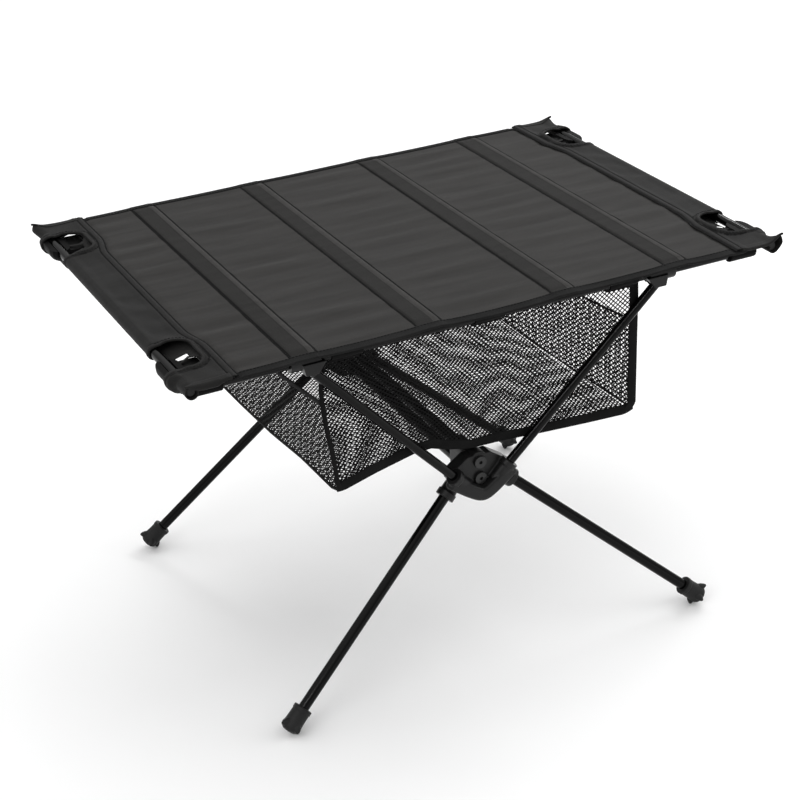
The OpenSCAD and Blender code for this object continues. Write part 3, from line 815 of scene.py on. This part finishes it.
lines = []
span = np.linspace(-SEAM_X + 3, SEAM_X - 3, 160)
for sy in (-1, 1):
    y = np.full(len(span), sy * (HEM_Y - HEM_W + 1.6))
    lines.append(np.column_stack([span, y, cloth_z(span, y) + 0.75]))
add_mesh("hem_stitching", *stitch_mesh(lines), THREAD, "hem_tape")


# Basket ----------------------------------------------------------------------

# The corners of the basket's floor, and the end walls' lean to the left and to the right at the top.
FLOOR_X, FLOOR_Y, FLOOR_Z = 158.0, 182.0, 228.0
LEAN_LEFT, LEAN_RIGHT = 9.0, 2.0


def inside_arm(x):
    """Largest distance from the middle at which the net stays behind the arms."""
    along = (np.maximum(np.abs(x), 26) - ARM_EXIT[0]) / ARM_RUN[0]
    return ARM_EXIT[1] - POLE_R - 1.0 + ARM_RUN[1] * along


# The bottom edge of each long wall: x from left to right, distance from the middle, height.
BOTTOM_FRONT = np.array([
    [-155, 182, 230.5], [-112, 174, 236.5], [-70, 167, 241], [-50, 163.6, 239.6], [-30, 160, 231],
    [-8, 158.5, 225], [26, 159, 224], [69, 166, 224.5], [112, 174, 226.5], [158, 182, 229]])
BOTTOM_BACK = np.array([
    [-157, 182, 224], [-112, 174, 223.2], [-70, 167, 222.6], [-30, 160, 222.4], [0, 158, 222.4],
    [30, 160, 222.6], [70, 167, 223.4], [112, 174, 224.6], [158, 182, 226]])


def bottom_curve(table, x):
    """Distance from the middle and height of a long wall's bottom edge."""
    pts = [np.interp(x, table[:, 0], table[:, k]) for k in (1, 2)]
    return np.minimum(pts[0], inside_arm(x)), pts[1]


def tuck(p):
    """Rounds the bottom corners of the basket."""
    x, y, z = np.moveaxis(p, -1, 0)
    gap = np.stack([FLOOR_X - np.abs(x), FLOOR_Y - np.abs(y), z - FLOOR_Z])
    near = 3.0 * np.prod(np.clip(1 - gap / 12, 0, 1), 0)
    return np.stack([x - near * np.sign(x), y - near * np.sign(y), z + near], -1)


def wall_point(u, v, sy):
    """A point on a long wall. u runs from left to right, v from the bottom to the rim."""
    table = BOTTOM_FRONT if sy < 0 else BOTTOM_BACK
    xb = table[0, 0] + (table[-1, 0] - table[0, 0]) * u
    yb, zb = bottom_curve(table, xb)
    left_lean = LEAN_LEFT * smooth(v / 0.75) * (1 - 0.45 * smooth((v - 0.75) / 0.25))
    x = xb + (2 * u - 1) * LEAN_RIGHT * v - left_lean * (1 - u) ** 3
    arm_z = ARM_EXIT[2] + ARM_RUN[2] * (np.abs(x) - ARM_EXIT[0]) / ARM_RUN[0]
    crease = np.clip((arm_z + 7 - zb) / (RIM_TOP - zb), 0.02, 0.97)
    y_crease = inside_arm(x)
    low = yb + (y_crease - yb) * np.clip(v / crease, 0, 1)
    high = y_crease + (RIM_Y - y_crease) * np.clip((v - crease) / (1 - crease), 0, 1)
    y = np.where(v < crease, low, high)
    loose = np.sin(math.pi * v) * np.abs(np.sin(math.pi * u)) ** 0.7
    y = y - 0.9 * loose * (1 + np.sin(x / 17 + 2 * v)) - 0.5 * loose * (1 + np.sin(x / 7.3 - 3 * v))
    z = zb + (RIM_TOP - zb) * v
    return tuck(np.stack([x, sy * y, z], -1))


# The bottom edge of each end wall: share of the way from front to back, and height.
BOTTOM_LEFT = ((0, 0.22, 0.42, 0.64, 0.81, 1), (230.5, 229.5, 222.8, 220.2, 219.6, 224.0))
BOTTOM_RIGHT = ((0, 0.25, 0.5, 0.8, 1), (229.0, 226.0, 223.0, 223.0, 226.0))


def end_point(u, v, sx):
    """A point on an end wall. u runs from front to back, v from the bottom to the top edge."""
    zb = np.interp(u, *(BOTTOM_LEFT if sx < 0 else BOTTOM_RIGHT))
    corner = 0 if sx < 0 else -1
    x0 = BOTTOM_FRONT[corner, 0] * (1 - u) + BOTTOM_BACK[corner, 0] * u
    y0 = FLOOR_Y * (2 * u - 1)
    top_z = END_Z + 4 - 14 * np.sin(math.pi * u)
    z = zb + (top_z - zb) * v
    height = (z - 226) / (RIM_Z - 226)
    lean = LEAN_LEFT * smooth(height / 0.75) if sx < 0 else LEAN_RIGHT * height
    bulge = 2.2 * np.sin(math.pi * u) * np.sin(math.pi * v) * (1 + 0.5 * np.sin(9 * u + 3 * v))
    return tuck(np.stack([x0 + sx * (lean + bulge), y0 * (1 - 0.006 * v), z], -1))


def floor_point(u, v):
    """A point on the floor. u runs from left to right, v from front to back."""
    xf = BOTTOM_FRONT[0, 0] + (BOTTOM_FRONT[-1, 0] - BOTTOM_FRONT[0, 0]) * u
    xb = BOTTOM_BACK[0, 0] + (BOTTOM_BACK[-1, 0] - BOTTOM_BACK[0, 0]) * u
    yf, zf = bottom_curve(BOTTOM_FRONT, xf)
    yb, zb = bottom_curve(BOTTOM_BACK, xb)
    left = end_point(v, np.zeros_like(v), -1)
    right = end_point(v, np.zeros_like(v), 1)
    x = xf * (1 - v) + xb * v
    y = -yf * (1 - v) + yb * v
    left_rise = left[..., 2] - (BOTTOM_FRONT[0, 2] * (1 - v) + BOTTOM_BACK[0, 2] * v)
    right_rise = right[..., 2] - (BOTTOM_FRONT[-1, 2] * (1 - v) + BOTTOM_BACK[-1, 2] * v)
    z = zf * (1 - v) + zb * v + left_rise * (1 - u) + right_rise * u
    z = z - np.sin(math.pi * u) * np.sin(math.pi * v)
    front_left = smooth(4 * v) * (1 - smooth(2.2 * v)) * smooth(6 * u) * (1 - smooth((u - 0.3) / 0.25))
    z = z - 7.0 * front_left
    return tuck(np.stack([x, y, np.maximum(z, 221.2)], -1))


HOLE = 0.68


def net_mesh(point, wide, high, pitch):
    """An open net over the surface point(u, v): diamond meshes with a hole of HOLE of their width."""
    nu, nv = (int(round(size * math.sqrt(2) / step)) for size, step in zip((wide, high), pitch))
    cols, rows = np.meshgrid(np.arange(1, nu), np.arange(1, nv))
    mesh_at = (cols + rows) % 2 == 0
    col, row = cols[mesh_at], rows[mesh_at]
    around = ((1, 0), (0, 1), (-1, 0), (0, -1))
    ends = np.stack([(row + dr) * (nu + 1) + col + dc for dc, dr in around], 1)
    used, corner = np.unique(ends, return_inverse=True)
    corner = corner.reshape(ends.shape)
    ku = (used % (nu + 1) + rng.normal(0, 0.06, len(used))) / nu
    kv = (used // (nu + 1) + rng.normal(0, 0.06, len(used))) / nv
    ku, kv = np.clip(ku, 0, 1), np.clip(kv, 0, 1)
    knots = point(ku, kv)
    step = 0.004
    normal = unit(np.cross(point(np.clip(ku + step, 0, 1), kv) - point(np.clip(ku - step, 0, 1), kv),
                           point(ku, np.clip(kv + step, 0, 1)) - point(ku, np.clip(kv - step, 0, 1))))
    over = (used % (nu + 1)) % 2 * 2 - 1
    knots = knots + normal * (0.14 * over)[:, None]
    size = HOLE * (1 + rng.normal(0, 0.05, len(col)))
    holes = [point((col + dc * size) / nu, (row + dr * size) / nv) for dc, dr in around]
    verts = np.concatenate([knots, *holes])
    inner = len(used) + np.arange(4)[None, :] * len(col) + np.arange(len(col))[:, None]
    strands = [(k, (k + 1) % 4) for k in range(4)]
    faces = [np.stack([corner[:, a], corner[:, b], inner[:, b], inner[:, a]], -1) for a, b in strands]
    return verts, np.concatenate(faces).tolist()


# Each sheet of net: its surface, its flat size and the pitch of its meshes.
NETS = {
    "front": (lambda u, v: wall_point(u, v, -1), 318, 142, (3.5, 3.4)),
    "back": (lambda u, v: wall_point(u, v, 1), 318, 146, (3.5, 3.4)),
    "left": (lambda u, v: end_point(u, v, -1), 364, 96, (6.0, 3.9)),
    "right": (lambda u, v: end_point(u, v, 1), 364, 96, (5.2, 3.7)),
    "floor": (floor_point, 314, 340, (3.8, 3.8)),
}
for name, (point, wide, high, pitch) in NETS.items():
    net = add_mesh(f"net_{name}", *net_mesh(point, wide, high, pitch), NET, "net",
                   replaces=[f"basket_{name}"], shade=False)
    solidify(net, 0.35, 0)

# Bindings. Each covers an edge of the net and follows it: name, edge, a line inside the edge, width.
one = np.linspace(0, 1, 120)
tapes = []
for sy, end in ENDS:
    edge, inner = (wall_point(one, np.full(120, v), sy) for v in (0.0, 0.07))
    tapes.append((f"binding_{end}_bottom", (edge + inner) / 2, inner - edge, 10.0))
for sx, side in SIDES:
    for place, v, v_in, wide in (("bottom", 0.0, 0.04, (3.6, 1.8)), ("top", 1.0, 0.94, (5.0, 2.2))):
        edge, inner = (end_point(one, np.full(120, at), sx) for at in (v, v_in))
        tapes.append((f"binding_{side}_{place}", (edge + inner) / 2, inner - edge, wide[sx > 0]))
    for sy, end in ENDS:
        edge = wall_point(np.full(60, float(sx > 0)), np.linspace(0, 1, 60), sy)
        wide = 9.5 if sx > 0 else 4.6
        inward = np.array([-sx, 0.0, 0.0])
        tapes.append((f"binding_{end}_{side}_edge", edge + inward * (wide / 2 - 0.8), inward, wide))
for name, pts, across, wide in tapes:
    add_mesh(name, *tape_mesh(pts, across, wide, 1.5), WEB, "basket_webbing",
             replaces=["basket_binding"] if name == "binding_front_bottom" else ())

rims = [wall_point(one, np.ones(120), sy) - [0, 0, 1.2] for sy in (-1, 1)]
rim_tapes = [tape_mesh(rim, [0, 0, 1.0], 3.2, 1.3) for rim in rims]
add_mesh("binding_rims", *joined(rim_tapes), WEB, "basket_webbing")

# Webbing loops over the rails, with both tails sewn to the wall.
LOOP_W = 30.0
ring_r = RAIL_R + 0.75
turn = np.radians(np.linspace(-112, 205, 34))
ring = np.column_stack([RAIL_Y + ring_r * np.cos(turn), RAIL_Z + ring_r * np.sin(turn)])
tail_out = [[RIM_Y + 1.1, RIM_Z - 2], [RIM_Y + 1.3, RIM_Z + 1]]
tail_in = [[RIM_Y - 0.9, RIM_Z + 3], [RIM_Y - 1.1, RIM_Z - 2]]
line = resample([*tail_out, *ring, *tail_in], 1.0)
loops = []
for sy in (-1, 1):
    for x in (loops_lo[0] + LOOP_W / 2, 0.0, loops_hi[0] - LOOP_W / 2):
        pts = np.column_stack([np.full(len(line), x), sy * line[:, 0], line[:, 1]])
        loops.append(tape_mesh(pts, [1.0, 0, 0], LOOP_W, 0.9))
add_mesh("basket_webbing", *joined(loops), WEB, "basket_webbing", replaces=["basket_loops"])


# Moulded parts ---------------------------------------------------------------

LEG_DIR = unit(LEG_END - LEG_EXIT)
ARM_DIR = unit(ARM_RUN)


def rod(a, b, r, r2=None):
    """A round bar from a to b, which tapers to r2."""
    return cord_mesh([a, b], np.array([r, r if r2 is None else r2]), 40)


def prism(outline, y0, y1):
    """A plate between y0 and y1 with an outline of (x, z) points."""
    return extruded(*([[x, y, z] for x, z in outline] for y in (y0, y1)))


def box_part(lo, hi, taper=(0, 0)):
    """A box whose lower end is narrower by taper on its low-x and high-x sides."""
    (x0, y0, z0), (x1, y1, z1) = lo, hi
    low_x0, low_x1 = x0 + taper[0], x1 - taper[1]
    low = [[low_x0, y0, z0], [low_x0, y1, z0], [low_x1, y1, z0], [low_x1, y0, z0]]
    high = [[x0, y0, z1], [x0, y1, z1], [x1, y1, z1], [x1, y0, z1]]
    return extruded(low, high)


def band(path, half_h, half_y):
    """A bar with rounded edges that follows a path in the XZ plane."""
    up = unit(np.cross(tangents(path), [0.0, -1.0, 0.0]))
    a = np.linspace(0, 2 * math.pi, 28, endpoint=False)
    across, rise = (np.sign(w) * np.abs(w) ** 0.55 for w in (np.cos(a), np.sin(a)))
    sideways = half_y * across[None, :, None] * np.array([0.0, 1.0, 0.0])
    return sweep(path[:, None] + sideways + half_h * rise[None, :, None] * up[:, None])


def moulding(name, solids, bores, sx, sy, rounds, body, skin=0.45, mat=NYLON, slot="moulded_nylon"):
    """One moulded piece: solids fused into a skin and rounded, then sharp bores."""
    obj = add_mesh(f"{name}_moulding", *joined([mirrored(p, sx, sy) for p in solids]), mat, slot,
                   body=body, replaces=[name])
    fused = obj.modifiers.new("fused", "REMESH")
    fused.mode = "VOXEL"
    fused.voxel_size = skin / 1000
    rounded = obj.modifiers.new("rounded", "SMOOTH")
    rounded.factor = 0.5
    rounded.iterations = rounds
    cut_away(obj, [mirrored(bore, sx, sy) for bore in bores])
    obj.data.materials.clear()
    obj.data.materials.append(mat)
    obj.data.shade_smooth()
    obj.data.set_sharp_from_angle(angle=math.radians(40))


def hub_solids():
    """The hub between the four poles: a housing, a kite-shaped plate, a V-shaped band and four barrels."""
    mid_z = sum(BAR_Z) / 2
    solids = [rod([0, 118, z], [0, 160.5, z], 9.6) for z in BAR_Z]
    solids.append(box_part([-9.6, 118, BAR_Z[0]], [9.6, 160.5, BAR_Z[1]]))
    solids.append(rod([0, 117.5, mid_z], [0, 121, mid_z], 6))
    half_kite = [[9, 175], [31, 196], [31, 204], [12, 217]]
    kite = [[0, 171], *half_kite, *([-x, z] for x, z in half_kite[::-1])]
    solids.append(prism(kite, 146, 161))
    t = np.linspace(-1.06, 1.06, 41)
    rise = 18.5 * (np.sqrt(t ** 2 + 0.045) - 0.212) / 0.81
    solids.append(band(np.column_stack([30 * t, np.full(41, 165.0), 179.0 + rise]), 7.2, 7.0))
    for side in ([1, 1, 1], [-1, 1, 1]):
        leg, arm, leg_dir, arm_dir = (v * side for v in (LEG_EXIT, ARM_EXIT, LEG_DIR, ARM_DIR))
        solids.append(rod(leg - 24 * leg_dir, leg, 7.6, 8.2))
        solids.append(rod(leg - 6.5 * leg_dir, leg + 0.2 * leg_dir, 9.4))
        solids.append(rod(arm - 23 * arm_dir, arm, 7.2, 7.6))
        solids.append(rod(arm - 5.5 * arm_dir, arm + 0.2 * arm_dir, 8.6))
    return solids


def hub_bores():
    """Holes for the crossbars, the screw heads, the legs and the arms."""
    bores = [rod([0, 100, z], [0, 156, z], BAR_R + CLEAR) for z in BAR_Z]
    bores += [rod([0, 160, z], [0, 190, z], BAR_R + 0.3) for z in BAR_Z]
    for side in ([1, 1, 1], [-1, 1, 1]):
        for exit, way, r in ((LEG_EXIT, LEG_DIR, LEG_R), (ARM_EXIT, ARM_DIR, POLE_R)):
            bores.append(rod((exit - 20 * way) * side, (exit + 4 * way) * side, r + CLEAR))
    return bores


def corner_solids():
    """The hook under the end pole, the socket for the rail and the block between them."""
    low, high = corner_lo[1], HOOK_END
    return [
        rod([POLE_X, low + 8, POLE_Z], [POLE_X, high, POLE_Z], HOOK_R),
        rod([POLE_X, low + 2, POLE_Z], [POLE_X, low + 8.2, POLE_Z], HOOK_R - 1.6, HOOK_R),
        rod([POLE_X, low - 1.5, POLE_Z], [POLE_X, low + 2.2, POLE_Z], HOOK_R - 4.5, HOOK_R - 1.6),
        rod([corner_lo[0], RAIL_Y, RAIL_Z], [POLE_X - 6, RAIL_Y, RAIL_Z], 7.5),
        box_part([262, low + 2, 366.5], [POLE_X, high, 380.5]),
        box_part([258, 176, 364.8], [POLE_X - 4, high + 4, 378.5]),
    ]


def corner_bores():
    """The rail's socket, and the trough of the end pole, open upward."""
    half = POLE_R + CLEAR
    return [
        rod([corner_lo[0] - 5, RAIL_Y, RAIL_Z], [278.2, RAIL_Y, RAIL_Z], half),
        rod([POLE_X, 100, POLE_Z], [POLE_X, 215, POLE_Z], half),
        box_part([POLE_X - half, 100, POLE_Z], [POLE_X + half, 215, POLE_Z + 20]),
        box_part([POLE_X - 40, 100, POLE_Z + 3], [POLE_X + 20, 215, POLE_Z + 30]),
    ]


def tee_solids():
    """A collar round the rail, and below it the pocket's walls, which taper inward."""
    return [
        rod([166, RAIL_Y, RAIL_Z], [194, RAIL_Y, RAIL_Z], 8),
        box_part([162.0, 184.8, 360.6], [184.2, 198.2, RAIL_Z], taper=(8.0, 2.4)),
    ]


def tee_bores():
    """The rail's hole and the arm's pocket."""
    return [
        rod([150, RAIL_Y, RAIL_Z], [210, RAIL_Y, RAIL_Z], POLE_R + CLEAR),
        box_part([163.9, 186.3, 350], [178.7, 196.7, 365.7]),
    ]


# A boot's radius at distances from the leg's end up the leg, and the four claws' stems.
BOOT_AT = np.array([-0.9, -0.3, 1.2, 3.5, 6.5, 10, 16, 20.6, 21.0, 24.6, 25.0])
BOOT_R = np.array([3.5, 6.2, 8.3, 9.3, 9.3, 9.0, 8.8, 8.8, 9.3, 9.3, 8.6])
CLAW_AT, CLAW_OUT, CLAW_R = (7.5, 5.5, 3.6, 2.6), (6.0, 8.8, 11.2, 12.6), (4.2, 3.6, 2.2, 0.9)


def boot_solids():
    """A collar with a domed end and four claws."""
    up = unit(np.cross(LEG_DIR, [0.0, 0.0, 1.0]))
    side = np.cross(LEG_DIR, up)
    solids = [cord_mesh(LEG_END - BOOT_AT[:, None] * LEG_DIR, BOOT_R, 40)]
    for turn in range(4):
        out = up * math.cos(turn * math.pi / 2) + side * math.sin(turn * math.pi / 2)
        stem = [LEG_END - at * LEG_DIR + away * out for at, away in zip(CLAW_AT, CLAW_OUT)]
        solids.append(cord_mesh(stem, np.array(CLAW_R), 20))
    return solids


def boot_bores():
    """The leg's hole, and everything below the ground."""
    return [
        rod(LEG_END - 5 * LEG_DIR, LEG_END - 40 * LEG_DIR, LEG_R + CLEAR),
        box_part([180, 150, -20], [270, 240, 0]),
    ]


for sy, end in ENDS:
    moulding(f"{end}_hub", hub_solids(), hub_bores(), 1, sy, 4, "frame", skin=0.55)
for sx, sy, corner in CORNERS:
    # The corner connectors get the darker copy of the nylon as painted shade.
    moulding(f"{corner}_corner", corner_solids(), corner_bores(), sx, sy, 5, "tabletop", mat=NYLON_PAINTED_SHADE)
    moulding(f"{corner}_tee", tee_solids(), tee_bores(), sx, sy, 5, "tabletop")
for sx, sy, corner in CORNERS:
    moulding(f"{corner}_boot", boot_solids(), boot_bores(), sx, sy, 1, f"{corner}_leg_assembly", skin=0.4,
             mat=RUBBER, slot="boot_rubber")


# Shock cord in the legs ------------------------------------------------------

for sx, sy, corner in CORNERS:
    inner = (LEG_EXIT - 18.5 * LEG_DIR) * [sx, sy, 1]
    outer = (LEG_EXIT + 245 * LEG_DIR) * [sx, sy, 1]
    route = inner + (outer - inner) * np.linspace(0, 1, 100)[:, None]
    cord = add_mesh(f"{corner}_leg_elastic", *cord_mesh(route, 1.4, 10), ELASTIC, "shock_cord", body=None,
                    replaces=[f"{corner}_leg_cord"])
    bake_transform(cord)


# Room, light and camera ------------------------------------------------------

floor_data = bpy.data.meshes.new("floor")
floor_data.from_pydata([(-30, -30, 0), (30, -30, 0), (30, 30, 0), (-30, 30, 0)], [], [(0, 1, 2, 3)])
floor = bpy.data.objects.new("floor", floor_data)
bpy.context.scene.collection.objects.link(floor)
floor_nodes = Nodes("pale_floor")
floor_nodes.bsdf.inputs["Base Color"].default_value = (0.93, 0.93, 0.93, 1)
floor_nodes.bsdf.inputs["Roughness"].default_value = 0.9
floor_nodes.bsdf.inputs["Specular IOR Level"].default_value = 0.1
floor_data.materials.append(floor_nodes.mat)

world = bpy.data.worlds.new("studio")
bpy.context.scene.world = world
world.use_nodes = True
sky = world.node_tree
sky_coords = sky.nodes.new("ShaderNodeTexCoord")
sky_split = sky.nodes.new("ShaderNodeSeparateXYZ")
sky_ramp = sky.nodes.new("ShaderNodeValToRGB")
sky.links.new(sky_coords.outputs["Generated"], sky_split.inputs[0])
sky.links.new(sky_split.outputs["Z"], sky_ramp.inputs["Fac"])
sky.links.new(sky_ramp.outputs["Color"], sky.nodes["Background"].inputs["Color"])
# A white line at the horizon, where the floor ends, then a darker band, then white overhead.
elements = sky_ramp.color_ramp.elements
elements[0].position, elements[1].position = 0.05, 0.72
for height in (0.09, 0.3):
    elements.new(height).color = (0.42, 0.42, 0.42, 1)
for end in (0, 3):
    elements[end].color = (1, 1, 1, 1)
sky.nodes["Background"].inputs["Strength"].default_value = 1.3


def soft_light(name, at, size, power):
    data = bpy.data.lights.new(name, "AREA")
    data.shape = "RECTANGLE"
    data.size, data.size_y = size
    data.energy = power
    lamp = bpy.data.objects.new(name, data)
    bpy.context.scene.collection.objects.link(lamp)
    lamp.location = at
    lamp.rotation_euler = (Vector((0, 0, 0.3)) - Vector(at)).to_track_quat("-Z", "Y").to_euler()
    return lamp


soft_light("key", (1.15, 0.8, 1.3), (1.4, 0.07), 9)
soft_light("fill", (-1.6, -0.95, 1.35), (1.3, 0.05), 6)
soft_light("edge", (1.9, -0.95, 1.05), (1.3, 0.05), 5)

bpy.context.scene.view_settings.view_transform = "Standard"

# The camera stands in front of the left end, looks right and down, and is tilted a little.
CAMERA_AT = (-0.7271, -1.5736, 1.0743)
HEADING, DOWN, TILT = (math.radians(a) for a in (24.663, 26.614, -3.196))
camera_data = bpy.data.cameras.new("camera")
camera_data.sensor_width = 36
camera_data.lens = 86.453
camera_data.clip_start = 0.05
camera_data.clip_end = 100
camera = bpy.data.objects.new("camera", camera_data)
bpy.context.scene.collection.objects.link(camera)
turn = Matrix.Rotation(-HEADING, 4, "Z") @ Matrix.Rotation(math.pi / 2 - DOWN, 4, "X")
camera.matrix_world = Matrix.Translation(CAMERA_AT) @ turn @ Matrix.Rotation(TILT, 4, "Z")
bpy.context.scene.camera = camera
